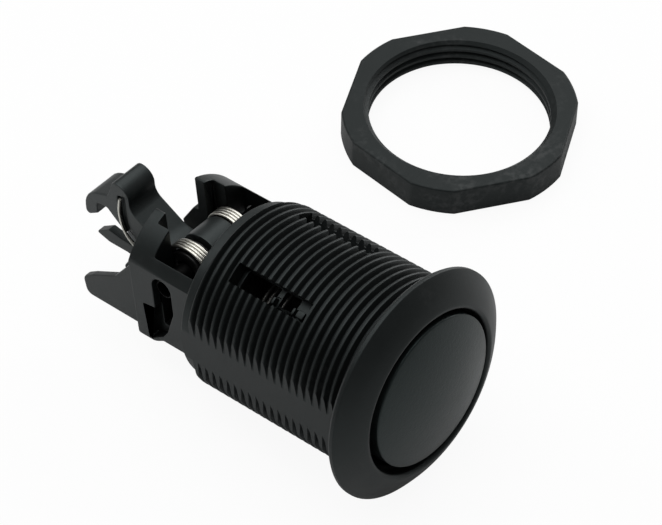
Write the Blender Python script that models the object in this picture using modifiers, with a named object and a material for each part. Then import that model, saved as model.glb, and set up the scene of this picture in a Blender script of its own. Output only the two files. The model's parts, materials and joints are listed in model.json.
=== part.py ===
"""Push-button cabinet latch lying on its side, with its loose locknut beside it.

Everything but the nut is modelled in the latch frame: its origin is on the barrel's axis at the
flange's rim, +Y runs rearward, +Z points to the hook's side and +X lies along the pivot pin.
"""

import math

import bmesh
import bpy
from mathutils import Matrix, Vector

# Fit between neighbouring pieces
GAP = 0.0003

# Threaded barrel: radii, and distances behind the flange's rim
THREAD_R = 0.0160
ROOT_R = 0.01505
THREAD_PITCH = 0.0015
RIDGE_HALF = 0.00062
TURN_STEPS = 48
COLLAR_END = 0.0016
THREAD_END = 0.0324
CHAMFER = 0.0004
NECK_END = 0.0348
BORE_R = 0.0135
FLANGE_R = 0.01934
FLANGE_LIP_R = 0.01427
FLANGE_RISE = 0.00295
MOUTH_R = 0.01415
MOUTH_DEPTH = 0.0009
FLANGE_BULGE = 0.0003
RIM_BACK = 0.0006
FLANGE_BACK = 0.0011
FLAT_X = 0.0148

# Four windows through the barrel's wall, measured as angles from the hook's side
WINDOW_ANGLES = [math.radians(a) for a in (-31, 31, 149, 211)]
WINDOW_WIDTH = 0.0034
WINDOW_START = 0.0138
WINDOW_END = 0.0282

# Push button: domed cap, and the plunger behind it
CAP_R = 0.0128
CAP_CROWN = 0.0052
CAP_EDGE = 0.0032
CAP_ROUND = 0.0005
CAP_PLAY = (0.0003, 0.0002)
CAP_SKIRT = 0.0075
CAP_WALL = 0.0012
CAP_UNDERSIDE = -0.0008
HEAD_R = 0.0109
HEAD_BACK = 0.0020
STEM_HALF = 0.0026
STEM_TOP = 0.0006
STEM_BOTTOM = -0.0046
STEM_SHOULDER = 0.0315
NOSE_TOP = -0.0023
LUG_HALF = 0.0040
LUG_LENGTH = 0.0012

# Rear cage: a round body with two side flats, open on top for the hook and its springs
CAGE_R = 0.0139
CAGE_HALF = 0.01175
CAGE_FRONT = NECK_END + GAP
CAGE_REAR = 0.0482
CAGE_BOTTOM = -0.0088
WALL_INNER = 0.0102
RECESS_INNER = 0.0100
POCKET_REAR = 0.0436
NOTCH_HALF = 0.0063
NOTCH_REAR = 0.0461
SLOT_HALF = 0.0043
FLOOR_TOP = -0.0050
UNDERCUT_Z = -0.0071
SKIRT_R = 0.0132
SKIRT_INNER_R = 0.0120
SKIRT_FRONT = 0.0125
PARTITION = (0.0280, 0.0300)

# Striker guides behind the cage: a tall one on the near side, a low blade in the middle
FANG_OUTER = -0.0106
FANG_INNER = -0.0093
STOP_OUTER = 0.0092
BLADE_HALF = 0.0008

# Hook, pivot and torsion springs
PIVOT = Vector((0, 0.0414, 0.0045))
HUB_R = 0.0044
HUB_NEAR = -0.0021
HUB_FAR = 0.0033
HOOK_HALF = 0.0031
PIN_R = 0.00165
PIN_HALF = 0.0111
BUSH_R = 0.0036
COIL_R = 0.00445
WIRE_R = 0.00012
COIL_TURNS = 3.6
COIL_PITCH = 0.00065
LEG_X = 0.0036
GROOVE_FLOOR = 0.0022
HEEL_FRONT = 0.0016
HEEL_BACK = 0.0014
HEEL_Z = -0.0043
ARM_Z = -0.0019

# Return spring of the button
RETURN_R = 0.0063
RETURN_WIRE_R = 0.00045
RETURN_TURNS = 7

# Locknut: six flats with the corners turned to a circle
NUT_CORNER_R = 0.0204
NUT_FLAT_R = 0.0193
NUT_HEIGHT = 0.0056
NUT_BORE_R = 0.0157
NUT_MOUTH_R = 0.0166
NUT_TURN = math.radians(26)

# Where the latch and the nut lie, from the centre of both
LATCH_PLACE = (-0.03139, -0.03104)
NUT_PLACE = (0.03101, 0.01054)

TILT = math.atan2(FLANGE_R - THREAD_R, THREAD_END - RIM_BACK)
LIFT = FLANGE_R * math.cos(TILT) + RIM_BACK * math.sin(TILT)

# Latch-frame directions of an outline's own two axes and of the axis it is pushed along
AXES = {
    "X": Matrix(((0, 0, 1), (1, 0, 0), (0, 1, 0))).to_4x4(),
    "Y": Matrix(((1, 0, 0), (0, 0, -1), (0, 1, 0))).to_4x4(),
    "Z": Matrix.Identity(4),
}


def new_collection(name):
    collection = bpy.data.collections.new(name)
    bpy.context.scene.collection.children.link(collection)
    return collection


def empty(name, parent, location, rotation=(0, 0, 0)):
    marker = bpy.data.objects.new(name, None)
    marker.parent = parent
    marker.location = location
    marker.rotation_euler = rotation
    PARTS.objects.link(marker)
    return marker


def material(name, colour, roughness, metallic=0.0):
    made = bpy.data.materials.new(name)
    made.use_nodes = True
    shader = made.node_tree.nodes["Principled BSDF"]
    shader.inputs["Base Color"].default_value = (*colour, 1)
    shader.inputs["Roughness"].default_value = roughness
    shader.inputs["Metallic"].default_value = metallic
    return made


def add_mesh(name, mesh):
    obj = bpy.data.objects.new(name, mesh)
    PARTS.objects.link(obj)
    return obj


def rounded(corners, steps=4):
    """Outline whose corners (u, v, radius) are turned into arcs."""
    points = []
    for i, (u, v, radius) in enumerate(corners):
        here = Vector((u, v))
        back = (Vector(corners[i - 1][:2]) - here).normalized()
        on = (Vector(corners[(i + 1) % len(corners)][:2]) - here).normalized()
        if radius == 0:
            points.append(here)
            continue
        half = back.angle(on) / 2
        centre = here + (back + on).normalized() * radius / math.sin(half)
        first = here + back * radius / math.tan(half) - centre
        turn = math.copysign(math.pi - 2 * half, -back.x * on.y + back.y * on.x)
        for k in range(steps + 1):
            points.append(centre + Matrix.Rotation(turn * k / steps, 2) @ first)
    return points


def arc(radius, start, end, steps):
    """Points of an arc about the origin, from one angle to another."""
    angles = [start + (end - start) * k / steps for k in range(steps + 1)]
    return [(radius * math.cos(a), radius * math.sin(a)) for a in angles]


def plate(name, outline, axis, start, end):
    """Flat outline pushed along one axis of the latch frame, as a closed mesh."""
    curve = bpy.data.curves.new(name, "CURVE")
    curve.dimensions = "2D"
    curve.fill_mode = "BOTH"
    curve.extrude = (end - start) / 2
    spline = curve.splines.new("POLY")
    spline.points.add(len(outline) - 1)
    for point, (u, v) in zip(spline.points, outline):
        point.co = (u, v, 0, 1)
    spline.use_cyclic_u = True
    drawn = bpy.data.objects.new(name + "_outline", curve)
    PARTS.objects.link(drawn)
    depsgraph = bpy.context.evaluated_depsgraph_get()
    mesh = bpy.data.meshes.new_from_object(drawn.evaluated_get(depsgraph))
    bpy.data.objects.remove(drawn)

    bm = bmesh.new()
    bm.from_mesh(mesh)
    bmesh.ops.remove_doubles(bm, verts=bm.verts, dist=0.000001)
    bmesh.ops.recalc_face_normals(bm, faces=bm.faces)
    bm.to_mesh(mesh)
    bm.free()
    middle = (start + end) / 2 * (-1 if axis == "Y" else 1)
    mesh.transform(AXES[axis] @ Matrix.Translation((0, 0, middle)))
    return add_mesh(name, mesh)


def turned(name, profile, axis, steps, ring, centre=(0, 0, 0)):
    """Profile of (radius, distance along the axis) turned about an axis through `centre`.

    The profile runs down its outer side: rearward about Y, and downward about X and Z.
    """
    side = -1 if axis == "Y" else 1
    bm = bmesh.new()
    verts = [bm.verts.new((radius, 0, side * along)) for radius, along in profile]
    for one, other in zip(verts, verts[1:]):
        bm.edges.new((one, other))
    if ring:
        bm.edges.new((verts[-1], verts[0]))
    mesh = bpy.data.meshes.new(name)
    bm.to_mesh(mesh)
    bm.free()
    obj = add_mesh(name, mesh)
    obj.rotation_euler = {"X": (0, math.pi / 2, 0), "Y": (math.pi / 2, 0, 0), "Z": (0, 0, 0)}[axis]
    obj.location = centre
    screw = obj.modifiers.new("turn", "SCREW")
    screw.steps = screw.render_steps = steps
    screw.use_merge_vertices = True
    screw.merge_threshold = 0.00001
    screw.use_smooth_shade = True
    return obj


def thread_ridge(name):
    """Ridge wound rearward round the barrel from its collar, tapered off at the thread's end."""
    sunk = ROOT_R - GAP / 2
    section = [(sunk, -RIDGE_HALF), (THREAD_R, 0), (sunk, RIDGE_HALF)]
    steps = round((THREAD_END + THREAD_PITCH - COLLAR_END) / THREAD_PITCH * TURN_STEPS)
    bm = bmesh.new()
    bm.faces.new([bm.verts.new((radius, COLLAR_END + along, 0)) for radius, along in section])
    bmesh.ops.spin(
        bm,
        geom=[*bm.verts, *bm.edges, *bm.faces],
        axis=(0, 1, 0),
        dvec=(0, THREAD_PITCH / TURN_STEPS, 0),
        angle=math.tau * steps / TURN_STEPS,
        steps=steps,
    )
    bmesh.ops.recalc_face_normals(bm, faces=bm.faces)
    mesh = bpy.data.meshes.new(name)
    bm.to_mesh(mesh)
    bm.free()
    ridge = add_mesh(name, mesh)

    clear = 2 * THREAD_PITCH
    taper = [
        (THREAD_R + CHAMFER, THREAD_END - 2 * CHAMFER),
        (THREAD_R + CHAMFER, THREAD_END + clear),
        (sunk - CHAMFER, THREAD_END + clear),
        (sunk - CHAMFER, THREAD_END + CHAMFER),
        (THREAD_R - CHAMFER, THREAD_END + CHAMFER),
    ]
    combine(ridge, turned("thread_taper", taper, "Y", TURN_STEPS, ring=True), "DIFFERENCE")
    return ridge


def drum(name, radius, low, high, steps):
    """Plain cylinder about the pivot pin, from one x to another."""
    profile = [(0, high), (radius, high), (radius, low), (0, low)]
    return turned(name, profile, "X", steps, ring=False, centre=PIVOT)


def boxes(name, sizes_and_places):
    """Several boxes in one mesh, each given as (size, matrix of its place)."""
    bm = bmesh.new()
    for size, place in sizes_and_places:
        bmesh.ops.create_cube(bm, size=1, matrix=place @ Matrix.Diagonal((*size, 1)))
    mesh = bpy.data.meshes.new(name)
    bm.to_mesh(mesh)
    bm.free()
    return add_mesh(name, mesh)


def box(name, low, high):
    size = [b - a for a, b in zip(low, high)]
    middle = [(a + b) / 2 for a, b in zip(low, high)]
    return boxes(name, [(size, Matrix.Translation(middle))])


def both_sides(obj):
    """Repeat a piece on the other side of the latch's middle plane."""
    mirror = obj.modifiers.new("other side", "MIRROR")
    mirror.use_mirror_merge = False
    return obj


def combine(obj, tool, operation):
    """Join or cut with another object, which then only serves as a tool."""
    modifier = obj.modifiers.new(tool.name, "BOOLEAN")
    modifier.operation = operation
    modifier.solver = "EXACT"
    modifier.object = tool
    tool.hide_render = True
    tool.display_type = "WIRE"
    PARTS.objects.unlink(tool)
    TOOLS.objects.link(tool)


def wire(name, points, radius):
    curve = bpy.data.curves.new(name, "CURVE")
    curve.dimensions = "3D"
    curve.bevel_depth = radius
    curve.bevel_resolution = 1
    curve.use_fill_caps = True
    spline = curve.splines.new("POLY")
    spline.points.add(len(points) - 1)
    for point, place in zip(spline.points, points):
        point.co = (*place, 1)
    print(name, "least gap to itself, mm:", round(1000 * self_gap(points, radius), 3))
    return add_mesh(name, curve)


def self_gap(points, radius):
    """Least clear distance between stretches of a wire that are half a turn or more apart."""
    apart = 5
    places = [Vector(p) for p in points]
    least = min((a - b).length for i, a in enumerate(places) for b in places[i + apart:])
    return least - 2 * radius


def with_tools(obj):
    """A piece, the tools that cut it or join it, and the tools of those tools."""
    tools = [modifier.object for modifier in obj.modifiers if modifier.type == "BOOLEAN"]
    return [obj] + [piece for tool in tools for piece in with_tools(tool)]


def finish(obj, frame, made_of, start=(0, 0, 0)):
    """Give a piece its material and hang it and its tools on a frame whose origin is at `start`."""
    obj.data.materials.append(made_of)
    for piece in with_tools(obj):
        piece.parent = frame
        piece.location -= Vector(start)


def threaded_barrel():
    """Flanged tube with a wound thread, two side flats along it and four windows in its wall."""
    face = []
    for k in range(5):
        t = k / 4
        radius = FLANGE_LIP_R + t * (FLANGE_R - FLANGE_LIP_R)
        face.append((radius, -FLANGE_RISE * (1 - t) - FLANGE_BULGE * math.sin(math.pi * t)))
    profile = [
        (BORE_R, MOUTH_R - BORE_R - MOUTH_DEPTH),
        (MOUTH_R, -MOUTH_DEPTH),
        (MOUTH_R, -FLANGE_RISE + FLANGE_LIP_R - MOUTH_R),
        *face,
        (FLANGE_R, RIM_BACK),
        (FLANGE_R - CHAMFER, FLANGE_BACK),
        (THREAD_R, FLANGE_BACK),
        (THREAD_R, COLLAR_END),
        (ROOT_R, COLLAR_END + CHAMFER),
        (ROOT_R, NECK_END - CHAMFER),
        (ROOT_R - CHAMFER, NECK_END),
        (BORE_R, NECK_END),
    ]
    barrel = turned("threaded_barrel", profile, "Y", TURN_STEPS, ring=True)
    combine(barrel, thread_ridge("barrel_thread"), "UNION")

    far = 2 * THREAD_R
    flats = box("side_flats", (FLAT_X, FLANGE_BACK, -far), (far, far * 2, far))
    combine(barrel, both_sides(flats), "DIFFERENCE")

    length = WINDOW_END - WINDOW_START
    middle = Matrix.Translation((0, (WINDOW_START + WINDOW_END) / 2, THREAD_R))
    openings = [
        ((WINDOW_WIDTH, length, THREAD_R / 2), Matrix.Rotation(angle, 4, "Y") @ middle)
        for angle in WINDOW_ANGLES
    ]
    combine(barrel, boxes("barrel_windows", openings), "DIFFERENCE")
    return barrel


def cage_snaps():
    """Locking barb and two ridges of the cage's skirt, standing in each barrel window."""
    width = WINDOW_WIDTH - 0.0008
    steps = [(0.0143, 0.0014, 0.0148), (0.0163, 0.0005, 0.0145), (0.0203, 0.0005, 0.0145)]
    pieces = []
    for angle in WINDOW_ANGLES:
        for start, length, top in steps:
            height = top - SKIRT_INNER_R - 0.0004
            place = Matrix.Translation((0, start + length / 2, top - height / 2))
            turn = Matrix.Rotation(angle, 4, "Y")
            pieces.append(((width, length, height), turn @ place))
    return boxes("cage_snaps", pieces)


def skirt_slots():
    """Openings through the cage's skirt behind each barrel window, between and behind its ridges."""
    pieces = []
    for angle in WINDOW_ANGLES:
        for start, end in ((0.0170, 0.0200), (0.0211, 0.0276)):
            place = Matrix.Translation((0, (start + end) / 2, SKIRT_R))
            size = (WINDOW_WIDTH - GAP, end - start, 4 * (SKIRT_R - SKIRT_INNER_R))
            pieces.append((size, Matrix.Rotation(angle, 4, "Y") @ place))
    return boxes("skirt_slots", pieces)


def latch_cage():
    """Rear body: spring pocket, hook slot, wall slots, striker guides and the skirt in the barrel."""
    lean = math.acos(CAGE_HALF / CAGE_R)
    crown = [(x, z, 0) for x, z in arc(CAGE_R, lean, math.pi - lean, 20)]
    feet = [(-CAGE_HALF, CAGE_BOTTOM, 0.001), (CAGE_HALF, CAGE_BOTTOM, 0.001)]
    cage = plate("latch_cage", rounded(crown + feet), "Y", CAGE_FRONT, CAGE_REAR)

    front, back = PARTITION
    skirt_profile = [
        (0, front),
        (SKIRT_INNER_R, front),
        (SKIRT_INNER_R, SKIRT_FRONT),
        (SKIRT_R, SKIRT_FRONT),
        (SKIRT_R, CAGE_FRONT + GAP),
        (SKIRT_INNER_R, CAGE_FRONT + GAP),
        (SKIRT_INNER_R, back),
        (0, back),
    ]
    combine(cage, turned("cage_skirt", skirt_profile, "Y", 48, ring=False), "UNION")
    combine(cage, skirt_slots(), "DIFFERENCE")
    combine(cage, cage_snaps(), "UNION")

    undercut = [
        (0.0340, UNDERCUT_Z),
        (0.0340, -0.0200),
        (0.0455, -0.0200),
        (0.0455, CAGE_BOTTOM),
        (0.0426, UNDERCUT_Z),
    ]
    combine(cage, plate("cage_undercut", undercut, "X", -0.02, 0.02), "DIFFERENCE")

    half_plan = [
        (WALL_INNER, CAGE_FRONT - GAP),
        (WALL_INNER, POCKET_REAR),
        (NOTCH_HALF, POCKET_REAR),
        (NOTCH_HALF, NOTCH_REAR),
        (SLOT_HALF, NOTCH_REAR),
        (SLOT_HALF, CAGE_REAR + 0.01),
    ]
    plan = half_plan + [(-x, y) for x, y in reversed(half_plan)]
    combine(cage, plate("spring_pocket", plan, "Z", FLOOR_TOP, 0.02), "DIFFERENCE")
    swing = COIL_R + WIRE_R + GAP
    reach = NOTCH_HALF - GAP / 2
    combine(cage, drum("coil_room", swing, -reach, reach, 48), "DIFFERENCE")

    fang = rounded([
        (0.0465, -0.0078, 0),
        (0.0607, -0.0077, 0.0012),
        (0.0611, -0.0042, 0.0014),
        (0.0588, -0.0027, 0.001),
        (0.0533, 0.0002, 0.0008),
        (0.0465, 0.0082, 0),
    ])
    combine(cage, plate("side_fang", fang, "X", FANG_OUTER, FANG_INNER), "UNION")
    stop = [
        (0.0470, -0.0078),
        (0.0500, -0.0078),
        (0.0522, 0.0021),
        (0.0494, 0.0061),
        (0.0470, 0.0066),
    ]
    combine(cage, both_sides(plate("throat_stops", stop, "X", SLOT_HALF, STOP_OUTER)), "UNION")
    blade = rounded([
        (0.0420, -0.0078, 0),
        (0.0520, -0.0078, 0.004),
        (0.0610, -0.00635, 0),
        (0.0650, -0.00635, 0.002),
        (0.0679, -0.0054, 0.0003),
        (0.0647, -0.0034, 0.0003),
        (0.0622, -0.0039, 0),
        (0.0530, -0.0044, 0.003),
        (0.0470, -0.0054, 0),
        (0.0420, -0.0054, 0),
    ])
    combine(cage, plate("guide_blade", blade, "X", -BLADE_HALF, BLADE_HALF), "UNION")

    front_edge, rear_edge = PIVOT.y - PIN_R - GAP - 0.00005, PIVOT.y + PIN_R + GAP
    top = PIVOT.z + PIN_R + 2 * GAP
    opening = rounded([
        (front_edge, top, 0.0019),
        (front_edge + 0.0001, 0.0005, 0.0006),
        (0.0414, -0.0045, 0.0004),
        (0.0425, -0.0060, 0.0004),
        (0.0455, -0.0080, 0.0004),
        (0.0459, -0.0007, 0.0002),
        (rear_edge + 0.0001, -0.0003, 0.0001),
        (rear_edge, top, 0.0019),
    ])
    sides = plate("wall_openings", opening, "X", RECESS_INNER, CAGE_R)
    combine(cage, both_sides(sides), "DIFFERENCE")

    clear = 0.0004
    stem_hole = box(
        "stem_hole",
        (-STEM_HALF - clear, front - 0.001, STEM_BOTTOM - clear),
        (STEM_HALF + clear, back + 0.001, STEM_TOP + clear),
    )
    combine(cage, stem_hole, "DIFFERENCE")
    return cage


def button_cap():
    """Domed cap with a skirt that slides in the barrel's bore."""
    rise = CAP_CROWN - CAP_EDGE
    flat_r = CAP_R - CAP_ROUND
    ball = (flat_r * flat_r + rise * rise) / (2 * rise)
    dome = []
    for k in range(9):
        radius = flat_r * k / 8
        dome.append((radius, -CAP_CROWN + ball - math.sqrt(ball * ball - radius * radius)))
    inner = CAP_R - CAP_WALL
    profile = dome + [
        (CAP_R, -CAP_EDGE + CAP_ROUND),
        (CAP_R, CAP_SKIRT),
        (inner, CAP_SKIRT),
        (inner, CAP_UNDERSIDE),
        (0, CAP_UNDERSIDE),
    ]
    return turned("button_cap", profile, "Y", 64, ring=False)


def button_plunger():
    """Head under the cap and a stem that reaches back below the hook's hub to its heel."""
    top = CAP_UNDERSIDE + GAP
    head = [(0, top), (HEAD_R, top), (HEAD_R, HEAD_BACK), (0, HEAD_BACK)]
    plunger = turned("button_plunger", head, "Y", 48, ring=False)
    reach = PIVOT.y - HEEL_FRONT - GAP
    stem = rounded([
        (HEAD_BACK - 0.0005, STEM_BOTTOM, 0),
        (reach, STEM_BOTTOM, 0.0005),
        (reach, STEM_BOTTOM + 0.0012, 0.0004),
        (reach - 0.0016, NOSE_TOP, 0.0004),
        (STEM_SHOULDER, NOSE_TOP, 0.0004),
        (STEM_SHOULDER, STEM_TOP, 0.0004),
        (HEAD_BACK - 0.0005, STEM_TOP, 0),
    ])
    combine(plunger, plate("plunger_stem", stem, "X", -STEM_HALF, STEM_HALF), "UNION")
    lug_start = PARTITION[1] + GAP
    lug = box(
        "plunger_lugs",
        (-LUG_HALF, lug_start, STEM_BOTTOM + 0.0004),
        (LUG_HALF, lug_start + LUG_LENGTH, NOSE_TOP),
    )
    combine(plunger, lug, "UNION")
    return plunger


def latch_hook():
    """Hub, cranked arm, hooked nose and the heel that the plunger pushes."""
    _, y, z = PIVOT
    outline = rounded([
        (y, z - GAP, 0),
        (0.0470, 0.0028, 0.002),
        (0.0528, 0.0030, 0.0030),
        (0.0560, 0.0056, 0.0030),
        (0.0558, 0.0116, 0.0026),
        (0.0594, 0.0115, 0.0012),
        (0.0610, 0.0078, 0.0005),
        (0.0666, 0.0057, 0.0020),
        (0.0669, 0.0005, 0.0007),
        (0.0641, 0.0022, 0.0003),
        (0.0638, 0.0047, 0.0006),
        (0.0616, 0.0048, 0.0008),
        (0.0570, 0.0003, 0.0025),
        (0.0520, ARM_Z, 0.0040),
        (y + HEEL_BACK, ARM_Z, 0.0003),
        (y + HEEL_BACK, HEEL_Z, 0.0006),
        (y - HEEL_FRONT, HEEL_Z, 0.0006),
        (y - HEEL_FRONT, z - GAP, 0),
    ])
    hook = plate("latch_hook", outline, "X", -HOOK_HALF, HOOK_HALF)
    groove = [
        (0.0570, 0.0094),
        (0.0586, 0.0090),
        (0.0588, 0.0040),
        (0.0575, 0.0000),
        (0.0555, 0.0000),
        (0.0570, 0.0040),
    ]
    combine(hook, both_sides(plate("leg_grooves", groove, "X", GROOVE_FLOOR, 0.005)), "DIFFERENCE")
    web = [
        (0.0500, -0.0012),
        (0.0530, -0.0024),
        (0.0570, -0.0012),
        (0.0605, 0.0027),
        (0.0580, 0.0040),
    ]
    half = GROOVE_FLOOR - GAP
    combine(hook, plate("arm_web", web, "X", -half, half), "UNION")
    combine(hook, drum("hub_clearance", HUB_R + 0.001, -0.01, HUB_NEAR - GAP, 41), "DIFFERENCE")
    combine(hook, drum("hook_hub", HUB_R, HUB_NEAR, HUB_FAR, 48), "UNION")
    combine(hook, drum("hook_bore", PIN_R + GAP, -0.01, 0.01, 25), "DIFFERENCE")
    return hook


def pivot_pin():
    end = PIN_HALF - CHAMFER
    thin = PIN_R - CHAMFER
    profile = [
        (0, PIN_HALF),
        (thin, PIN_HALF),
        (PIN_R, end),
        (PIN_R, -end),
        (thin, -PIN_HALF),
        (0, -PIN_HALF),
    ]
    return turned("pivot_pin", profile, "X", 24, ring=False, centre=PIVOT)


def spring_bush(name, low, high):
    """Sleeve on the pin that carries one torsion spring, beside the hub."""
    bore_r = PIN_R + GAP
    profile = [(bore_r, high - GAP), (BUSH_R, high - GAP), (BUSH_R, low + GAP), (bore_r, low + GAP)]
    return turned(name, profile, "X", 32, ring=True, centre=PIVOT)


def torsion_spring(name, side):
    """Coil on its bush; its inner end runs back under the arm and up the hook's side."""
    _, y, z = PIVOT
    per_turn = 10
    count = round(COIL_TURNS * per_turn)
    points = []
    for k in range(count + 1):
        left = (count - k) / per_turn
        angle = 2 * math.pi * (0.75 - left)
        x = side * (LEG_X + COIL_PITCH * left)
        points.append((x, y + COIL_R * math.cos(angle), z + COIL_R * math.sin(angle)))
    leg = [
        (0.0450, -0.0019),
        (0.0505, -0.0015),
        (0.0543, -0.0007),
        (0.0561, 0.0005),
        (0.0574, 0.0020),
        (0.0580, 0.0040),
        (0.0581, 0.0065),
        (0.0576, 0.0090),
    ]
    points += [(side * LEG_X, leg_y, leg_z) for leg_y, leg_z in leg]
    return wire(name, points, WIRE_R)


def return_spring():
    """Compression coil between the plunger's head and the cage's partition."""
    per_turn = 10
    count = RETURN_TURNS * per_turn
    clear = GAP + RETURN_WIRE_R
    start, end = HEAD_BACK + clear, PARTITION[0] - clear
    points = []
    for k in range(count + 1):
        angle = 2 * math.pi * k / per_turn
        along = start + (end - start) * k / count
        points.append((RETURN_R * math.cos(angle), along, RETURN_R * math.sin(angle)))
    return wire("button_return_spring", points, RETURN_WIRE_R)


def locknut():
    """Ring with six flats, its corners turned round, and a bore with chamfered mouths."""
    half_arc = math.pi / 6 - math.acos(NUT_FLAT_R / NUT_CORNER_R)
    outline = []
    for k in range(6):
        middle = NUT_TURN + k * math.pi / 3
        outline += arc(NUT_CORNER_R, middle - half_arc, middle + half_arc, 5)
    nut = plate("locknut", outline, "Z", 0, NUT_HEIGHT)
    chamfer = NUT_MOUTH_R - NUT_BORE_R
    over = 0.001
    profile = [
        (0, NUT_HEIGHT + over),
        (NUT_MOUTH_R + over, NUT_HEIGHT + over),
        (NUT_BORE_R, NUT_HEIGHT - chamfer),
        (NUT_BORE_R, chamfer),
        (NUT_MOUTH_R + over, -over),
        (0, -over),
    ]
    combine(nut, turned("nut_bore", profile, "Z", 64, ring=False), "DIFFERENCE")
    return nut


for old in list(bpy.data.objects):
    bpy.data.objects.remove(old, do_unlink=True)

PARTS = new_collection("push_button_latch")
TOOLS = new_collection("push_button_latch_tools")

BODY_BLACK = material("black_nylon", (0.022, 0.024, 0.025), 0.48)
CAP_BLACK = material("satin_button", (0.030, 0.033, 0.035), 0.38)
INNER_BLACK = material("black_acetal", (0.018, 0.018, 0.019), 0.40)
SPRING_STEEL = material("spring_steel", (0.78, 0.77, 0.73), 0.22, 1.0)
DARK_STEEL = material("blackened_steel", (0.10, 0.10, 0.10), 0.35, 1.0)

latch = empty("latch_frame", None, (*LATCH_PLACE, LIFT), (-TILT, 0, 0))
button = empty("button_slide", latch, (0, 0, 0))
pivot = empty("hook_pivot", latch, PIVOT)
beside = empty("locknut_frame", None, (*NUT_PLACE, 0))

finish(threaded_barrel(), latch, BODY_BLACK)
finish(latch_cage(), latch, BODY_BLACK)
finish(return_spring(), latch, SPRING_STEEL)
finish(button_cap(), button, CAP_BLACK, start=(-CAP_PLAY[0], 0, -CAP_PLAY[1]))
finish(button_plunger(), button, INNER_BLACK)
finish(latch_hook(), pivot, BODY_BLACK, start=PIVOT)
finish(pivot_pin(), pivot, DARK_STEEL, start=PIVOT)
finish(spring_bush("near_spring_bush", -NOTCH_HALF, HUB_NEAR), pivot, INNER_BLACK, start=PIVOT)
finish(spring_bush("far_spring_bush", HUB_FAR, NOTCH_HALF), pivot, INNER_BLACK, start=PIVOT)
finish(torsion_spring("near_torsion_spring", -1), pivot, SPRING_STEEL, start=PIVOT)
finish(torsion_spring("far_torsion_spring", 1), pivot, SPRING_STEEL, start=PIVOT)
finish(locknut(), beside, BODY_BLACK)
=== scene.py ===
"""Looks of the push-button latch and its loose locknut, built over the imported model.

Pieces are drawn in millimetres. The latch's own frame has its origin on the barrel's axis at the
flange's rim; Y runs rearward, Z points to the hook's side and X lies along the pivot pin. Each
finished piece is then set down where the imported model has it.
"""
import json
import math

import bpy
from mathutils import Matrix, Vector


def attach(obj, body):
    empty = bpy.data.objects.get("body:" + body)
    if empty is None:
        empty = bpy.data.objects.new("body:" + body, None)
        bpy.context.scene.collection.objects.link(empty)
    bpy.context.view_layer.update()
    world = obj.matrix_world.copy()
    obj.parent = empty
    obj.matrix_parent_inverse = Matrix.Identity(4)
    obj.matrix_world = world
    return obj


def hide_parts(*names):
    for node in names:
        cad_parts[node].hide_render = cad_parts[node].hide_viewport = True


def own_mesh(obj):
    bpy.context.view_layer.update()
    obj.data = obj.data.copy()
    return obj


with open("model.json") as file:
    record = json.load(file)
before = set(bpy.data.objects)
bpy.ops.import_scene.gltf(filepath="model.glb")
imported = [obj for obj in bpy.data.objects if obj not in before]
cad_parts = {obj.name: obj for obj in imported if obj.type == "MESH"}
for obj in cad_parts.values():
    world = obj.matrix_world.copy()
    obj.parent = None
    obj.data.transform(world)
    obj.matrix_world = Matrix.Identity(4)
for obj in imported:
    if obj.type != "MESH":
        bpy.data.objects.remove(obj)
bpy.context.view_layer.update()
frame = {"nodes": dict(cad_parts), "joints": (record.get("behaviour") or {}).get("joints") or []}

MM = 0.001
ORIGIN = Vector((0, 0, 0))
AXES = {"X": Vector((1, 0, 0)), "Y": Vector((0, 1, 0)), "Z": Vector((0, 0, 1))}
NEAR, FAR = -1, 1

# How near points of a line, and points that cuts leave, have to be to count as one
SAME_POINT = 0.0005
STRAY_POINT = 0.004
# Faces that turn less than this count as one flat face
FLAT_WITHIN = math.radians(0.5)
# Room round the pin and beside the hub, and how far cutting tools reach out
CLEARANCE = 0.3
BEYOND = 20

# Barrel
PITCH = 1.5
CREST_R = 16.0
ROOT_R = 15.05
COLLAR_END = 1.6
THREAD_END = 32.4
THREAD_STEPS = 70
BORE_R = 13.5
MOUTH_R = 13.86
LIP_R = 14.27
LIP_Y = -3.02
LIP_ROUND = 0.6
LIP_BACK = 0.12
DOME_SWELL = 0.3
FLANGE_R = 19.34
FLANGE_BACK = 1.1
NECK_END = 34.8
FLAT_X = 14.8
WINDOW_TURNS = (-31, 31, 149, 211)
WINDOW_WIDTH = 3.4
WINDOW_START = 13.8
WINDOW_END = 28.2

# Button
CAP_R = 12.8
DOME_R = 12.3
CAP_CENTRE = Vector((0.3, 0, 0.2))
CAP_CROWN = -5.2
CAP_EDGE = -3.2
CAP_ROUND = 0.35
CAP_WALL = 1.2
CAP_UNDERSIDE = -0.8
CAP_END = 7.5
PLUNGER_SOFT = 0.15

# Cage
CAGE_R = 13.9
CAGE_HALF = 11.75
CAGE_FRONT = 35.1
CAGE_REAR = 48.2
CAGE_BOTTOM = -8.8
WALL_INNER = 10.2
RECESS_INNER = 10.0
SLOT_HALF = 4.3
SKIRT_R = 13.2
SKIRT_INNER = 12.0
SKIRT_FRONT = 12.5
PLATE_FRONT = 28.0
PLATE_BACK = 30.0
# Start and end of each slot in the skirt; start, length and top of each snap
SKIRT_SLOTS = ((17.0, 20.0), (21.1, 27.6))
SNAPS = ((14.3, 1.4, 14.8), (16.3, 0.5, 14.5), (20.3, 0.5, 14.5))
SNAP_WIDTH = 1.2
UNDERCUT = -7.1
POCKET_FLOOR = -5.0
GUIDE_BOTTOM = -7.8
TOWER_ROUND = 0.45
CAGE_SOFT = 0.22

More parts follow.
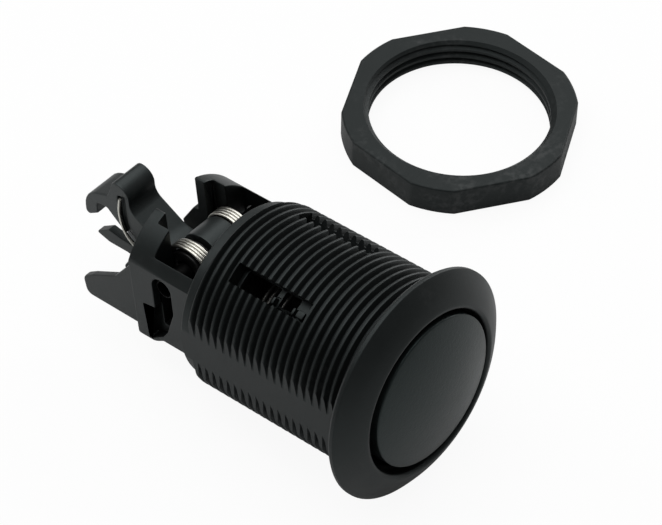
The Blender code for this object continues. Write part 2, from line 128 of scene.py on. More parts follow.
# Hook, pin and springs
PIVOT = Vector((0, 41.4, 4.5))
HUB_R = 4.4
HUB_ENDS = (-2.1, 3.3)
HOOK_HALF = 3.1
GROOVE_FLOOR = 2.2
HOOK_SOFT = 0.28
PIN_R = 1.65
PIN_END = 11.1
PIN_WALL = 0.22
PIN_HOLLOW = 5.0
BUSH_R = 3.6
BUSH_END = 6.0
COIL_R = 4.4
WIRE_R = 0.28
COIL_PITCH = 0.565
COIL_TURNS = 4.1
LEG_X = 3.5
RETURN_R = 6.3
RETURN_WIRE_R = 0.45
RETURN_FRONT = 2.3
RETURN_BACK = 27.7
RETURN_TURNS = 9
COIL_STEPS = 36

# Nut
NUT_CORNER_R = 20.4
NUT_FLAT_R = 19.3
NUT_HEIGHT = 5.6
NUT_BORE_R = 15.7
NUT_TURN = 26
NUT_SOFT = 0.35
MOUTH_OUTER = 17.6
MOUTH_DEPTH = 0.95

# Colours of the black mouldings
NEUTRAL = (1, 1, 1)
COOL = (0.87, 1.0, 1.0)
COOLER = (0.79, 1.0, 0.99)
RUBBED_LEVEL = 0.11

# Where the latch and the nut lie
JOINTS = {joint["name"]: joint for joint in frame["joints"]}
REARWARD = Vector(JOINTS["button_press"]["axis"])
HOOKWARD = AXES["X"].cross(REARWARD)
LATCH = (
    Matrix.Translation(JOINTS["hook_pivot"]["pos_m"])
    @ Matrix((AXES["X"], REARWARD, HOOKWARD)).transposed().to_4x4()
    @ Matrix.Scale(MM, 4)
    @ Matrix.Translation(-PIVOT)
)
BESIDE = Matrix.Translation(JOINTS["nut_turn"]["pos_m"]) @ Matrix.Scale(MM, 4)


def eased(corners, steps=3):
    """Closed outline whose corners (u, v, radius) are turned into arcs."""
    points = []
    for i, (u, v, radius) in enumerate(corners):
        here = Vector((u, v))
        if radius == 0:
            points.append(here)
            continue
        back = (Vector(corners[i - 1][:2]) - here).normalized()
        on = (Vector(corners[(i + 1) % len(corners)][:2]) - here).normalized()
        half = back.angle(on) / 2
        middle = here + (back + on).normalized() * radius / math.sin(half)
        first = here + back * radius / math.tan(half) - middle
        sweep = math.copysign(math.pi - 2 * half, back.y * on.x - back.x * on.y)
        points += [middle + Matrix.Rotation(sweep * k / steps, 2) @ first for k in range(steps + 1)]
    return points


def draw(name, places):
    """Draw a line by pulling a point from place to place; the piece stays in edit mode."""
    bpy.ops.object.select_all(action="DESELECT")
    bpy.ops.mesh.primitive_plane_add(size=1, location=ORIGIN)
    piece = bpy.context.object
    piece.name = piece.data.name = name
    bpy.ops.object.mode_set(mode="EDIT")
    bpy.ops.mesh.select_all(action="SELECT")
    bpy.ops.mesh.merge(type="CENTER")
    bpy.ops.transform.translate(value=places[0])
    for here, there in zip(places, places[1:]):
        bpy.ops.mesh.extrude_vertices_move(TRANSFORM_OT_translate={"value": there - here})
    bpy.ops.mesh.select_all(action="SELECT")
    bpy.ops.mesh.remove_doubles(threshold=SAME_POINT)
    return piece


def close_up(piece):
    """Merge seams and poles, turn the faces outwards and leave edit mode."""
    bpy.ops.mesh.select_all(action="SELECT")
    bpy.ops.mesh.remove_doubles(threshold=SAME_POINT)
    bpy.ops.mesh.normals_make_consistent(inside=False)
    bpy.ops.object.mode_set(mode="OBJECT")
    return piece


def turn(name, profile, axis, steps, centre=ORIGIN):
    """Spin a profile of (radius, place along the axis) about an axis through `centre`."""
    along = AXES[axis]
    out = AXES["Z"] if axis == "X" else AXES["X"]
    places = [centre + out * radius + along * place for radius, place in profile]
    if profile[0][0] > 0:
        places.append(places[0])
    piece = draw(name, places)
    bpy.ops.mesh.spin(steps=steps, angle=math.tau, center=centre, axis=along)
    return close_up(piece)


def slab(name, outline, axis, low, high):
    """Fill a flat outline and pull it along an axis, from `low` to `high`."""
    across, up = {"X": "YZ", "Y": "XZ", "Z": "XY"}[axis]
    places = [AXES[across] * u + AXES[up] * v + AXES[axis] * low for u, v in outline]
    piece = draw(name, places + places[:1])
    bpy.ops.mesh.edge_face_add()
    bpy.ops.mesh.extrude_region_move(TRANSFORM_OT_translate={"value": AXES[axis] * (high - low)})
    return close_up(piece)


def block(name, low, high, lean=0):
    """Box between two corners, leaning round the barrel's axis by some degrees."""
    low, high = Vector(low), Vector(high)
    bpy.ops.object.select_all(action="DESELECT")
    bpy.ops.mesh.primitive_cube_add(size=1, location=(low + high) / 2, scale=high - low)
    piece = bpy.context.object
    piece.name = piece.data.name = name
    bpy.ops.object.transform_apply(location=True, rotation=False, scale=True)
    piece.rotation_euler = (0, math.radians(lean), 0)
    bpy.ops.object.transform_apply(location=False, rotation=True, scale=False)
    return piece


def select_only(piece):
    """Make a piece the active one, with nothing else selected."""
    bpy.ops.object.select_all(action="DESELECT")
    piece.select_set(True)
    bpy.context.view_layer.objects.active = piece


def finish_with(piece, kind, **settings):
    """Add one modifier to a piece and apply it."""
    bpy.context.view_layer.objects.active = piece
    modifier = piece.modifiers.new(kind.lower(), kind)
    for name, value in settings.items():
        setattr(modifier, name, value)
    bpy.ops.object.modifier_apply(modifier=modifier.name)
    return piece


def both_sides(piece):
    """Repeat a piece on the other side of the latch's middle plane."""
    return finish_with(piece, "MIRROR", use_mirror_merge=False)


def cut(piece, tool):
    """Take a tool's shape out of a piece."""
    finish_with(piece, "BOOLEAN", operation="DIFFERENCE", solver="EXACT", object=tool)
    bpy.data.objects.remove(tool)


def join(piece, other):
    """Make another shape part of a piece."""
    finish_with(piece, "BOOLEAN", operation="UNION", solver="EXACT", object=other)
    bpy.data.objects.remove(other)


def clean_up(piece):
    """Merge the stray points that cuts leave and join flat faces; the piece stays in edit mode."""
    select_only(piece)
    bpy.ops.object.mode_set(mode="EDIT")
    bpy.ops.mesh.select_all(action="SELECT")
    bpy.ops.mesh.remove_doubles(threshold=STRAY_POINT)
    bpy.ops.mesh.dissolve_limited(angle_limit=FLAT_WITHIN)


def soften(piece, width, angle=40, segments=2):
    """Round the sharp edges a little, as a mould leaves them."""
    clean_up(piece)
    bpy.ops.object.mode_set(mode="OBJECT")
    return finish_with(
        piece,
        "BEVEL",
        width=width,
        segments=segments,
        limit_method="ANGLE",
        angle_limit=math.radians(angle),
        use_clamp_overlap=False,
        miter_outer="MITER_ARC",
    )


def round_edges(piece, wanted, radius, segments):
    """Round the edges whose two ends the `wanted` test accepts."""
    clean_up(piece)
    bpy.ops.mesh.select_mode(type="EDGE")
    bpy.ops.mesh.select_all(action="DESELECT")
    bpy.ops.object.mode_set(mode="OBJECT")
    places = [vertex.co for vertex in piece.data.vertices]
    for edge in piece.data.edges:
        edge.select = wanted(*[places[corner] for corner in edge.vertices])
    bpy.ops.object.mode_set(mode="EDIT")
    bpy.ops.mesh.bevel(offset=radius, segments=segments, affect="EDGES", clamp_overlap=False)
    bpy.ops.mesh.select_mode(type="VERT")
    bpy.ops.object.mode_set(mode="OBJECT")


def thread_ridge(name, section, axis, start, end):
    """Pull a closed section round and along an axis as a right-handed thread with closed ends."""
    out, along = AXES["X"], AXES[axis]
    places = [out * radius + along * (start + place) for radius, place in section]
    piece = draw(name, places + places[:1])
    bpy.ops.object.mode_set(mode="OBJECT")
    turns = (end - start) / PITCH
    steps = round(turns * THREAD_STEPS)
    finish_with(
        piece,
        "SCREW",
        axis=axis,
        angle=math.tau * turns,
        screw_offset=end - start,
        steps=steps,
        render_steps=steps,
    )
    bpy.ops.object.mode_set(mode="EDIT")
    bpy.ops.mesh.select_all(action="SELECT")
    bpy.ops.mesh.fill_holes(sides=0)
    return close_up(piece)


def wire(name, places, radius, sides=10):
    """Round wire through places, as a mesh with closed ends."""
    curve = bpy.data.curves.new(name, "CURVE")
    curve.dimensions = "3D"
    curve.bevel_depth = radius
    curve.bevel_resolution = sides // 2 - 2
    curve.use_fill_caps = True
    spline = curve.splines.new("POLY")
    spline.points.add(len(places) - 1)
    for point, place in zip(spline.points, places):
        point.co = (*place, 1)
    piece = bpy.data.objects.new(name, curve)
    bpy.context.scene.collection.objects.link(piece)
    select_only(piece)
    bpy.ops.object.convert(target="MESH")
    piece = bpy.context.object
    bpy.ops.object.mode_set(mode="EDIT")
    return close_up(piece)


def smoothed(places, steps):
    """Places on a smooth curve (Catmull-Rom) through the given ones."""
    ends = [2 * places[0] - places[1], *places, 2 * places[-1] - places[-2]]
    out = []
    for a, b, c, d in zip(ends, ends[1:], ends[2:], ends[3:]):
        for k in range(steps):
            t = k / steps
            out.append(
                0.5 * (2 * b + (c - a) * t + (2 * a - 5 * b + 4 * c - d) * t * t
                       + (3 * b - a - 3 * c + d) * t ** 3)
            )
    return out + [places[-1]]


def set_down(piece, place, body, nodes, finish, smooth=32):
    """Put a finished piece in its place, give it its finish and hang it on its body."""
    select_only(piece)
    piece.matrix_world = place
    bpy.ops.object.transform_apply(location=True, rotation=True, scale=True)
    bpy.ops.object.shade_smooth_by_angle(angle=math.radians(smooth))
    finish_with(piece, "WEIGHTED_NORMAL", keep_sharp=True)
    piece.data.materials.clear()
    piece.data.materials.append(finish)
    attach(piece, body)
    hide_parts(*nodes)


class Tone:
    """A value in a material's nodes; sums on it add the nodes that work them out."""

    def __init__(self, tree, socket):
        self.tree = tree
        self.socket = socket

    def node(self, kind, settings, inputs, output=0):
        """Add a node: its settings first, then the values or links of its sockets."""
        made = self.tree.nodes.new(kind)
        for name, value in settings.items():
            setattr(made, name, value)
        for name, value in inputs.items():
            if isinstance(value, Tone):
                self.tree.links.new(value.socket, made.inputs[name])
            else:
                made.inputs[name].default_value = value
        return Tone(self.tree, made.outputs[output])

    def sum(self, operation, first, second):
        """Add a node that works out one operation on two values."""
        return self.node("ShaderNodeMath", {"operation": operation}, {0: first, 1: second})

    def __add__(self, other):
        return self.sum("ADD", self, other)

    def __radd__(self, other):
        return self.sum("ADD", other, self)

    def __mul__(self, other):
        return self.sum("MULTIPLY", self, other)

    def __rmul__(self, other):
        return self.sum("MULTIPLY", other, self)

    def noise(self, scale, detail=2.0, roughness=0.5):
        """Cloudy pattern on the piece's own coordinates, about 0.5 on average."""
        return self.node(
            "ShaderNodeTexNoise",
            {},
            {"Vector": self, "Scale": scale, "Detail": detail, "Roughness": roughness},
        )

    def between(self, low, high):
        """0 below `low`, 1 above `high`, with a soft step between."""
        return self.node(
            "ShaderNodeMapRange",
            {"interpolation_type": "SMOOTHSTEP"},
            {"Value": self, "From Min": low, "From Max": high},
        )

    def mix(self, first, second):
        """Colour that goes from one to another as this value goes from 0 to 1."""
        return self.node(
            "ShaderNodeMix",
            {"data_type": "RGBA"},
            {"Factor": self, "A": first, "B": second},
            output="Result",
        )


def start_material(name):
    """New material, its shader, and the piece's own coordinates as a value."""
    made = bpy.data.materials.new(name)
    made.use_nodes = True
    tree = made.node_tree
    shader = tree.nodes["Principled BSDF"]
    coordinates = tree.nodes.new("ShaderNodeTexCoord")
    return made, shader, Tone(tree, coordinates.outputs["Object"])


def colour_of(level, tint=NEUTRAL):
    """Grey of some level, tinted, as a full colour."""
    return (*[level * part for part in tint], 1)


def feed(shader, **inputs):
    """Link or set the shader's sockets."""
    tree = shader.id_data
    for name, value in inputs.items():
        socket = shader.inputs[name.replace("_", " ")]
        if isinstance(value, Tone):
            tree.links.new(value.socket, socket)
        else:
            socket.default_value = value


def moulded_plastic(
    name, level, roughness, tint=COOL, grain=0.35, scuffs=0.10, cover=0.56, gloss=0.30
):
    """Black moulding: faint clouds, fine spark-eroded grain, and pale rubbed patches."""
    made, shader, place = start_material(name)
    depth = 0.00006
    clouds = place.noise(260, detail=3)
    fine = place.noise(5200, detail=2)
    coarse = place.noise(1500, detail=3)
    patches = place.noise(95, detail=6, roughness=0.62).between(cover, cover + 0.18)
    rubbed = patches * place.noise(900, detail=4).between(0.38, 0.68) * scuffs
    dark, pale = colour_of(level * 0.75, tint), colour_of(level * 1.3, tint)
    height = fine * 0.6 + coarse * 0.4
    bump = height.node(
        "ShaderNodeBump", {}, {"Strength": grain, "Distance": depth, "Height": height}
    )
    feed(
        shader,
        Base_Color=rubbed.mix(clouds.mix(dark, pale), colour_of(RUBBED_LEVEL)),
        Roughness=roughness - 0.05 + clouds * 0.07 + fine * 0.05 + rubbed * 0.1,
        Normal=bump,
        Specular_IOR_Level=gloss,
        Specular_Tint=(*tint, 1),
    )
    return made


def drawn_wire(name, colour, roughness):
    """Drawn metal: faint clouds and fine draw marks."""
    made, shader, place = start_material(name)
    depth, strength = 0.00002, 0.12
    clouds = place.noise(700, detail=3)
    marks = place.noise(9000, detail=2)
    dull = [0.8 * part for part in colour]
    bump = marks.node(
        "ShaderNodeBump", {}, {"Strength": strength, "Distance": depth, "Height": marks}
    )
    feed(
        shader,
        Base_Color=clouds.mix((*dull, 1), (*colour, 1)),
        Metallic=1.0,
        Roughness=roughness - 0.06 + clouds * 0.08 + marks * 0.04,
        Normal=bump,
    )
    return made


def flange_face():
    """Points of the flange's front, from inside its rounded lip over its dome to its rim."""
    lip_points, degrees_apart, dome_steps = 8, 16, 12
    points = []
    for k in range(lip_points):
        turned = math.radians(90 - degrees_apart * k)
        points.append((
            MOUTH_R + LIP_ROUND * (1 - math.sin(turned)),
            LIP_Y + LIP_BACK + LIP_ROUND * (1 - math.cos(turned)),
            0,
        ))
    for k in range(2, dome_steps):
        t = k / dome_steps
        radius = LIP_R + t * (FLANGE_R - LIP_R)
        points.append((radius, LIP_Y * (1 - t) - DOME_SWELL * math.sin(math.pi * t), 0))
    return points


def ridge_section(flank, crest_r):
    """Section of a thread's ridge: one flank of (radius, half width), the crest, the other flank."""
    return [(radius, -half) for radius, half in flank] + [(crest_r, 0.0)] + flank[::-1]


def barrel_thread():
    """Rounded ridge round the barrel, sunk a little into it, that fades out at the rear."""
    flank = [
        (ROOT_R - 0.15, 0.63),
        (ROOT_R + 0.11, 0.50),
        (CREST_R - 0.21, 0.30),
        (CREST_R - 0.05, 0.18),
    ]
    section = ridge_section(flank, CREST_R)
    ridge = thread_ridge("thread", section, "Y", COLLAR_END, THREAD_END + 1.2)
    fade, outside, inside, rear = 0.4, CREST_R + 1.0, ROOT_R - 0.5, THREAD_END + 5
    run_out = [
        (outside, THREAD_END - 1.0),
        (CREST_R - fade, THREAD_END + fade),
        (inside, THREAD_END + fade),
        (inside, rear),
        (outside, rear),
    ]
    cut(ridge, turn("run_out", run_out, "Y", steps=96))
    return ridge


def threaded_barrel():
    """Flanged tube with a cut thread, two side flats and four windows."""
    profile = eased([
        (BORE_R, -0.25, 0.1),
        (MOUTH_R, -0.9, 0.1),
        *flange_face(),
        (FLANGE_R, 0.0, 0.14),
        (FLANGE_R, 0.6, 0.18),
        (FLANGE_R - 0.4, FLANGE_BACK, 0.14),
        (CREST_R, FLANGE_BACK, 0.05),
        (CREST_R, COLLAR_END, 0.08),
        (ROOT_R, COLLAR_END + 0.4, 0.1),
        (ROOT_R, NECK_END, 0.4),
        (BORE_R, NECK_END, 0.25),
    ])
    barrel = turn("barrel", profile, "Y", steps=144)
    join(barrel, barrel_thread())
    behind_flange, past_side, past_rear = FLANGE_BACK + 0.003, 30, 60
    flats = block("flats", (FLAT_X, behind_flange, -BEYOND), (past_side, past_rear, BEYOND))
    cut(barrel, both_sides(flats))
    half, in_bore = WINDOW_WIDTH / 2, BORE_R - 2.5
    for lean in WINDOW_TURNS:
        low, high = (-half, WINDOW_START, in_bore), (half, WINDOW_END, BEYOND)
        cut(barrel, block("window", low, high, lean))
    return barrel


def button_cap():
    """Domed cap whose edge rounds over into a skirt."""
    dome_steps, round_steps = 24, 8
    rise = CAP_EDGE - CAP_CROWN
    ball = (DOME_R * DOME_R + rise * rise) / (2 * rise)
    middle = CAP_CROWN + ball
    edge_r = CAP_R - CAP_ROUND
    reach = math.asin(edge_r / (ball - CAP_ROUND))
    edge_y = middle - (ball - CAP_ROUND) * math.cos(reach)
    profile = []
    for k in range(dome_steps + 1):
        angle = reach * k / dome_steps
        profile.append((ball * math.sin(angle), middle - ball * math.cos(angle)))
    for k in range(1, round_steps + 1):
        angle = reach + (math.pi / 2 - reach) * k / round_steps
        profile.append((edge_r + CAP_ROUND * math.sin(angle), edge_y - CAP_ROUND * math.cos(angle)))
    inner_r = CAP_R - CAP_WALL
    skirt = eased([
        (CAP_R, edge_y, 0),
        (CAP_R, CAP_END, 0.3),
        (inner_r, CAP_END, 0.3),
        (inner_r, CAP_UNDERSIDE, 0.4),
        (0, CAP_UNDERSIDE, 0),
    ])
    profile += [(p.x, p.y) for p in skirt[1:]]
    return turn("cap", profile, "Y", steps=128, centre=CAP_CENTRE)


def cage_body():
    """Round body with two flat sides, and the skirt that reaches into the barrel."""
    lean = math.acos(CAGE_HALF / CAGE_R)
    steps = 40
    crown = []
    for k in range(steps + 1):
        angle = lean + (math.pi - 2 * lean) * k / steps
        crown.append((CAGE_R * math.cos(angle), CAGE_R * math.sin(angle), 0))
    feet = [(-CAGE_HALF, CAGE_BOTTOM, 1.0), (CAGE_HALF, CAGE_BOTTOM, 1.0)]
    cage = slab("cage", eased(crown + feet, steps=5), "Y", CAGE_FRONT, CAGE_REAR)
    in_body = CAGE_FRONT + 0.3
    skirt = [
        (0, PLATE_FRONT),
        (SKIRT_INNER, PLATE_FRONT),
        (SKIRT_INNER, SKIRT_FRONT),
        (SKIRT_R, SKIRT_FRONT),
        (SKIRT_R, in_body),
        (SKIRT_INNER, in_body),
        (SKIRT_INNER, PLATE_BACK),
        (0, PLATE_BACK),
    ]
    join(cage, turn("skirt", skirt, "Y", steps=72))
    return cage


def fit_windows(cage):
    """Cut the skirt's slots and add its snaps, which stand along one side of each barrel window."""
    reach = (WINDOW_WIDTH - 0.8) / 2
    slot_half, inside, outside = reach + 0.25, SKIRT_INNER - 2, CREST_R
    snap_root = SKIRT_INNER + 0.4
    for side, lean in zip((NEAR, FAR, NEAR, FAR), WINDOW_TURNS):
        for start, end in SKIRT_SLOTS:
            cut(cage, block("slot", (-slot_half, start, inside), (slot_half, end, outside), lean))
        left, right = sorted((side * reach, side * (reach - SNAP_WIDTH)))
        for start, length, top in SNAPS:
            join(cage, block("snap", (left, start, snap_root), (right, start + length, top), lean))


def wall_opening(side, top):
    """Tool for the slot in a side wall that takes the pin's end."""
    outline = eased([
        (39.4, top, 1.9),
        (39.5, 0.5, 0.6),
        (41.4, -4.5, 0.4),
        (42.5, -6.0, 0.4),
        (45.5, -8.0, 0.4),
        (45.9, -0.7, 0.2),
        (43.45, -0.3, 0.1),
        (43.35, top, 1.9),
    ], steps=6)
    return slab("opening", outline, "X", *sorted((side * RECESS_INNER, side * CAGE_R)))


def tower_edge(start, end):
    """Is this the top edge of a tower beside the hook's slot?"""
    tolerance, lowest, foremost = 0.02, 12.5, 46
    return all(
        abs(abs(place.x) - SLOT_HALF) < tolerance and place.z > lowest and place.y > foremost
        for place in (start, end)
    )


def hollow_out(cage):
    """Cut the undercut, the pocket with the hook's slot behind it, and the room for the coils."""
    undercut = [
        (34, UNDERCUT),
        (34, -BEYOND),
        (45.5, -BEYOND),
        (45.5, CAGE_BOTTOM),
        (42.6, UNDERCUT),
    ]
    cut(cage, slab("undercut", undercut, "X", -BEYOND, BEYOND))
    half_plan = [
        (WALL_INNER, 34.8),
        (WALL_INNER, 43.6),
        (6.3, 43.6),
        (6.3, 46.1),
        (SLOT_HALF, 46.1),
        (SLOT_HALF, 60),
    ]
    plan = half_plan + [(-x, y) for x, y in reversed(half_plan)]
    cut(cage, slab("pocket", plan, "Z", POCKET_FLOOR, BEYOND))
    reach, radius = BUSH_END + 0.15, COIL_R + WIRE_R + 0.19
    room = [(0, reach), (radius, reach), (radius, -reach), (0, -reach)]
    cut(cage, turn("room", room, "X", steps=64, centre=PIVOT))


def add_guides(cage):
    """Add the tall striker guide on the near side, a stop beside each tower and the low blade."""
    fang = [
        (46.5, GUIDE_BOTTOM, 0),
        (60.7, -7.7, 1.2),
        (61.1, -4.2, 1.4),
        (58.8, -2.7, 1.0),
        (53.3, 0.2, 0.8),
        (46.5, 8.2, 0),
    ]
    join(cage, slab("fang", eased(fang, steps=4), "X", -10.6, -9.3))
    stop = [(47, GUIDE_BOTTOM), (50, GUIDE_BOTTOM), (52.2, 2.1), (49.4, 6.1), (47, 6.6)]
    join(cage, both_sides(slab("stops", stop, "X", SLOT_HALF, 9.2)))
    blade = [
        (42, GUIDE_BOTTOM, 0),
        (52, GUIDE_BOTTOM, 4.0),
        (61, -6.35, 0),
        (65, -6.35, 2.0),
        (67.9, -5.4, 0.3),
        (64.7, -3.4, 0.3),
        (62.2, -3.9, 0),
        (53, -4.4, 3.0),
        (47, -5.4, 0),
        (42, -5.4, 0),
    ]
    join(cage, slab("blade", eased(blade, steps=4), "X", -0.8, 0.8))


def latch_cage():
    """Open rear body with spring pocket, hook slot, striker guides and wall openings."""
    cage = cage_body()
    fit_windows(cage)
    hollow_out(cage)
    add_guides(cage)
    for side, over_pin in ((NEAR, 0.6), (FAR, 0.05)):
        cut(cage, wall_opening(side, PIVOT.z + PIN_R + over_pin))
    stem_low, stem_high = (-3.0, PLATE_FRONT - 1, POCKET_FLOOR), (3.0, PLATE_BACK + 1, 1.0)
    cut(cage, block("stem_hole", stem_low, stem_high))
    round_edges(cage, tower_edge, TOWER_ROUND, segments=4)
    return soften(cage, CAGE_SOFT)


def latch_hook():
    """Hub, cranked arm, rounded lump and hooked nose, with a groove for each spring leg."""
    _, y, z = PIVOT
    heel_front, heel_rear, heel_bottom, in_hub = y - 1.6, y + 1.4, -4.3, z - 0.3
    outline = [
        (y, in_hub, 0),
        (47.0, 2.8, 2.0),
        (50.0, 3.1, 4.0),
        (56.2, 7.1, 2.5),
        (55.8, 11.6, 2.4),
        (59.4, 11.5, 1.2),
        (61.0, 7.8, 0.5),
        (66.6, 5.8, 4.4),
        (66.9, 0.5, 0.7),
        (64.1, 2.2, 0.3),
        (63.8, 4.7, 0.6),
        (61.6, 4.8, 0.8),
        (57.0, 0.3, 2.5),
        (52.0, -1.9, 4.0),
        (heel_rear, -1.9, 0.3),
        (heel_rear, heel_bottom, 0.6),
        (heel_front, heel_bottom, 0.6),
        (heel_front, in_hub, 0),
    ]
    hook = slab("hook", eased(outline, steps=6), "X", -HOOK_HALF, HOOK_HALF)
    groove = [(57.0, 9.4), (58.6, 9.0), (58.8, 4.0), (57.5, 0.0), (55.5, 0.0), (57.0, 4.0)]
    cut(hook, both_sides(slab("grooves", groove, "X", GROOVE_FLOOR, 5.0)))
    web = [
        (50.0, -1.2),
        (53.0, -2.4),
        (57.0, -1.6),
        (58.8, -0.6),
        (59.3, 1.2),
        (60.5, 2.7),
        (58.0, 4.0),
    ]
    web_half = GROOVE_FLOOR - 0.3
    join(hook, slab("web", web, "X", -web_half, web_half))
    near, far = HUB_ENDS
    through = 10
    for radius, low, high, steps, work in (
        (HUB_R + 1.0, -through, near - CLEARANCE, 41, cut),
        (HUB_R, near, far, 64, join),
        (PIN_R + CLEARANCE, -through, through, 25, cut),
    ):
        profile = [(0, high), (radius, high), (radius, low), (0, low)]
        work(hook, turn("hub", profile, "X", steps, PIVOT))
    return soften(hook, HOOK_SOFT)


def pivot_pin():
    """Rolled pin, hollow at both ends."""
    hollow_r, floor = PIN_R - PIN_WALL, PIN_END - PIN_HOLLOW
    profile = eased([
        (0, floor, 0),
        (hollow_r, floor, 0),
        (hollow_r, PIN_END, 0.06),
        (PIN_R, PIN_END, 0.12),
        (PIN_R, -PIN_END, 0.12),
        (hollow_r, -PIN_END, 0.06),
        (hollow_r, -floor, 0),
        (0, -floor, 0),
    ], steps=4)
    return turn("pin", [(p.x, p.y) for p in profile], "X", steps=40, centre=PIVOT)


def spring_bush(name, low, high):
    """Sleeve on the pin with eased ends."""
    bore_r = PIN_R + CLEARANCE
    profile = eased([
        (bore_r, high, 0.1),
        (BUSH_R, high, 0.3),
        (BUSH_R, low, 0.3),
        (bore_r, low, 0.1),
    ])
    return turn(name, [(p.x, p.y) for p in profile], "X", steps=56, centre=PIVOT)


def torsion_spring(name, side):
    """Close-wound coil on its bush, with a leg back under the arm and up the hook's side."""
    count = round(COIL_TURNS * COIL_STEPS)
    under_pin = 0.75
    places = []
    for k in range(count + 1):
        left = (count - k) / COIL_STEPS
        angle = math.tau * (under_pin - left)
        across = side * (LEG_X + COIL_PITCH * left)
        places.append(
            PIVOT + Vector((across, COIL_R * math.cos(angle), COIL_R * math.sin(angle)))
        )
    leg = [
        (45.0, -1.9),
        (50.5, -1.5),
        (54.3, -0.7),
        (56.1, 0.5),
        (57.4, 2.0),
        (58.0, 4.0),
        (58.1, 6.5),
        (57.6, 9.0),
    ]
    bends = [places[-1]] + [Vector((side * LEG_X, y, z)) for y, z in leg]
    return wire(name, places[:-1] + smoothed(bends, steps=5), WIRE_R, sides=12)


def return_spring():
    """Compression coil behind the button, its end turns closed up."""
    low, high = RETURN_FRONT + RETURN_WIRE_R, RETURN_BACK - RETURN_WIRE_R
    count = COIL_STEPS * RETURN_TURNS
    closing = 0.9
    places = []
    for k in range(count + 1):
        t = k / count
        rise = t - closing * math.sin(math.tau * t) / math.tau
        angle = math.tau * RETURN_TURNS * t
        along = low + (high - low) * rise
        places.append(Vector((RETURN_R * math.cos(angle), along, RETURN_R * math.sin(angle))))
    return wire("return_coil", places, RETURN_WIRE_R)


def nut_tap():
    """Tool for the nut's bore: a rod with a ridge that cuts the thread."""
    low, high = -2.0, 8
    rod = [(0, low), (NUT_BORE_R, low), (NUT_BORE_R, high), (0, high)]
    tap = turn("tap", rod, "Z", steps=96)
    flank = [
        (NUT_BORE_R - 0.2, 0.62),
        (NUT_BORE_R + 0.05, 0.48),
        (NUT_BORE_R + 0.6, 0.14),
    ]
    section = ridge_section(flank, NUT_BORE_R + 0.67)
    join(tap, thread_ridge("tap_ridge", section, "Z", -1.4, NUT_HEIGHT + 1.6))
    return tap


def locknut():
    """Ring with six flats and turned corners, tapped with a cut thread."""
    half_arc = math.pi / 6 - math.acos(NUT_FLAT_R / NUT_CORNER_R)
    arc_steps = 12
    outline = []
    for k in range(6):
        middle = math.radians(NUT_TURN) + k * math.pi / 3
        for j in range(arc_steps + 1):
            angle = middle - half_arc + 2 * half_arc * j / arc_steps
            outline.append(Vector((math.cos(angle), math.sin(angle))) * NUT_CORNER_R)
    nut = soften(slab("nut", outline, "Z", 0, NUT_HEIGHT), NUT_SOFT, angle=60, segments=3)
    cut(nut, nut_tap())
    for face, out in ((NUT_HEIGHT, 1), (0, -1)):
        depth = face - out * MOUTH_DEPTH
        mouth = [
            (0, face + out),
            (MOUTH_OUTER, face + out),
            (NUT_BORE_R - 0.05, depth),
            (0, depth),
        ]
        cut(nut, turn("mouth", mouth, "Z", steps=96))
    return nut


def eased_copy(name, node, width):
    """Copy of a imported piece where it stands, in millimetres, with its edges rounded a little."""
    source = frame["nodes"][node]
    piece = bpy.data.objects.new(name, source.data.copy())
    bpy.context.scene.collection.objects.link(piece)
    piece.data.transform(Matrix.Scale(1 / MM, 4))
    return soften(piece, width)


def pale_floor():
    """Floor that takes shadows and looks almost white to the camera, but dark in reflections."""
    tone, seen_glow, mirrored_glow = 0.80, 0.93, 0.05
    bpy.ops.mesh.primitive_plane_add(size=8, location=ORIGIN)
    floor = bpy.context.object
    floor.name = "floor"
    made = bpy.data.materials.new("white_sweep")
    made.use_nodes = True
    tree = made.node_tree
    shader = tree.nodes["Principled BSDF"]
    feed(shader, Base_Color=colour_of(tone), Roughness=0.9)
    rays = tree.nodes.new("ShaderNodeLightPath")
    straight, glossy, through = [
        Tone(tree, rays.outputs[kind])
        for kind in ("Is Camera Ray", "Is Glossy Ray", "Is Transmission Ray")
    ]
    seen = straight * seen_glow + (glossy + through) * mirrored_glow
    glow = seen.node("ShaderNodeEmission", {}, {"Color": (1, 1, 1, 1), "Strength": 1.0})
    lit = seen.node("ShaderNodeMixShader", {}, {0: seen, 1: Tone(tree, shader.outputs[0]), 2: glow})
    tree.links.new(lit.socket, tree.nodes["Material Output"].inputs["Surface"])
    floor.data.materials.append(made)


def soft_light():
    """Dim white surroundings and four area lamps aimed at the middle."""
    surroundings = 0.17
    world = bpy.data.worlds.new("tent")
    bpy.context.scene.world = world
    world.use_nodes = True
    sky = world.node_tree.nodes["Background"]
    sky.inputs["Color"].default_value = (1, 1, 1, 1)
    sky.inputs["Strength"].default_value = surroundings

    for name, place, size, power in (
        ("overhead_box", (-0.05, 0.15, 0.95), 0.9, 7.2),
        ("right_box", (0.60, 0.50, 0.86), 0.4, 1.3),
        ("rear_box", (-0.25, 0.75, 0.60), 0.5, 1.8),
        ("low_box", (0.95, 0.10, 0.35), 0.6, 5.2),
    ):
        bpy.ops.object.light_add(type="AREA", location=place)
        lamp = bpy.context.object
        lamp.name = name
        lamp.data.size = size
        lamp.data.energy = power
        lamp.rotation_euler = (-Vector(place)).to_track_quat("-Z", "Y").to_euler()


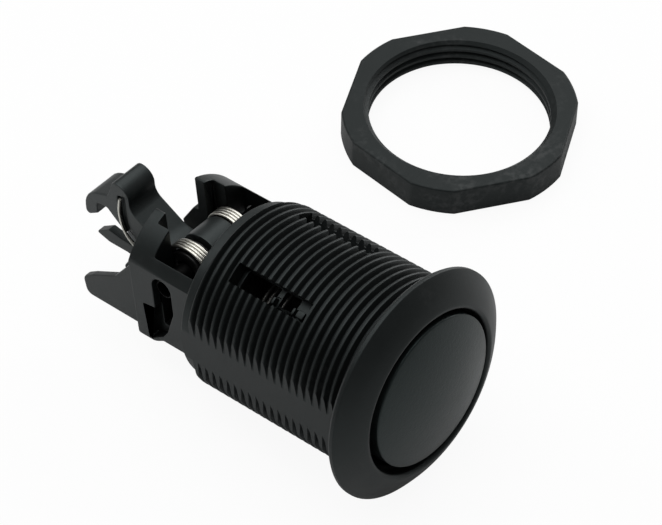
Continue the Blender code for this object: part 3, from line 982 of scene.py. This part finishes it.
def aim_camera():
    """Long lens that looks down on the latch as the photo's does."""
    azimuth, elevation, roll = [math.radians(angle) for angle in (220.12, 47.17, 1.04)]
    target, distance = Vector((-0.00722, 0.00658, 0)), 0.4961
    back = Vector((
        math.cos(elevation) * math.cos(azimuth),
        math.cos(elevation) * math.sin(azimuth),
        math.sin(elevation),
    ))
    bpy.ops.object.camera_add(location=target + back * distance)
    camera = bpy.context.object
    aim = (-back).to_track_quat("-Z", "Y").to_matrix()
    camera.rotation_euler = (aim @ Matrix.Rotation(roll, 3, "Z")).to_euler()
    camera.data.sensor_width = 36
    camera.data.lens = 163.142
    bpy.context.scene.camera = camera
    bpy.context.scene.view_settings.view_transform = "Standard"


nylon = moulded_plastic("black_nylon_grain", level=0.0048, roughness=0.43)
# The barrel's copy of the black nylon is a little lighter and rougher than the cage's; its extra
# lightness is painted light that lifts the shade in the thread's grooves.
lit_barrel_nylon = moulded_plastic("lit_barrel_nylon_grain", level=0.0054, roughness=0.48)
# The hook's copy of the black nylon is almost twice as light as the cage's and a little glossier;
# the extra lightness is painted light on the hook and its hub.
hook_lit_nylon = moulded_plastic("hook_lit_nylon_grain", level=0.0090, roughness=0.42, gloss=0.36)
satin = moulded_plastic(
    "satin_button_grain", level=0.0085, roughness=0.39, tint=COOLER, grain=0.9, scuffs=0.05
)
acetal = moulded_plastic(
    "smooth_acetal", level=0.0050, roughness=0.34, tint=NEUTRAL, grain=0.15, scuffs=0.05
)
# The nut's nylon carries real rubbed patches, and its base level is raised as painted light, in
# place of more light from above on its top.
rubbed_lit_nut = moulded_plastic(
    "rubbed_lit_nut_nylon", level=0.0088, roughness=0.54, grain=0.45, scuffs=0.24, cover=0.46, gloss=0.22
)
bright_wire = drawn_wire("bright_wire", colour=(0.55, 0.54, 0.49), roughness=0.30)
# The return coil's copy of the spring wire is much darker than the torsion springs': painted shade
# for the coil inside the barrel.
shaded_spring_wire = drawn_wire("shaded_spring_wire", colour=(0.16, 0.16, 0.15), roughness=0.42)
# The pin is blackened steel, darkened further to near black as painted shade, so its ends look as
# dark as the shade in the wall slots.
black_shaded_pin = drawn_wire("blackened_shaded_pin", colour=(0.007, 0.007, 0.007), roughness=0.55)

pale_floor()
soft_light()
aim_camera()
set_down(threaded_barrel(), LATCH, "housing", ["threaded_barrel"], lit_barrel_nylon)
set_down(latch_cage(), LATCH, "housing", ["latch_cage"], nylon)
set_down(pivot_pin(), LATCH, "housing", ["pivot_pin"], black_shaded_pin)
near_bush = spring_bush("near_bush", -BUSH_END, HUB_ENDS[0] - CLEARANCE)
set_down(near_bush, LATCH, "housing", ["near_spring_bush"], acetal)
far_bush = spring_bush("far_bush", HUB_ENDS[1] + CLEARANCE, BUSH_END)
set_down(far_bush, LATCH, "housing", ["far_spring_bush"], acetal)
coil = return_spring()
set_down(coil, LATCH, "housing", ["button_return_spring"], shaded_spring_wire, smooth=60)
set_down(button_cap(), LATCH, "button", ["button_cap"], satin)
plunger = eased_copy("plunger", "button_plunger", PLUNGER_SOFT)
set_down(plunger, Matrix.Scale(MM, 4), "button", ["button_plunger"], acetal)
set_down(latch_hook(), LATCH, "hook", ["latch_hook"], hook_lit_nylon)
for name, side in (("near_torsion", NEAR), ("far_torsion", FAR)):
    spring = torsion_spring(name, side)
    set_down(spring, LATCH, "hook", [name + "_spring"], bright_wire, smooth=60)
set_down(locknut(), BESIDE, "nut", ["locknut"], rubbed_lit_nut)

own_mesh(coil)
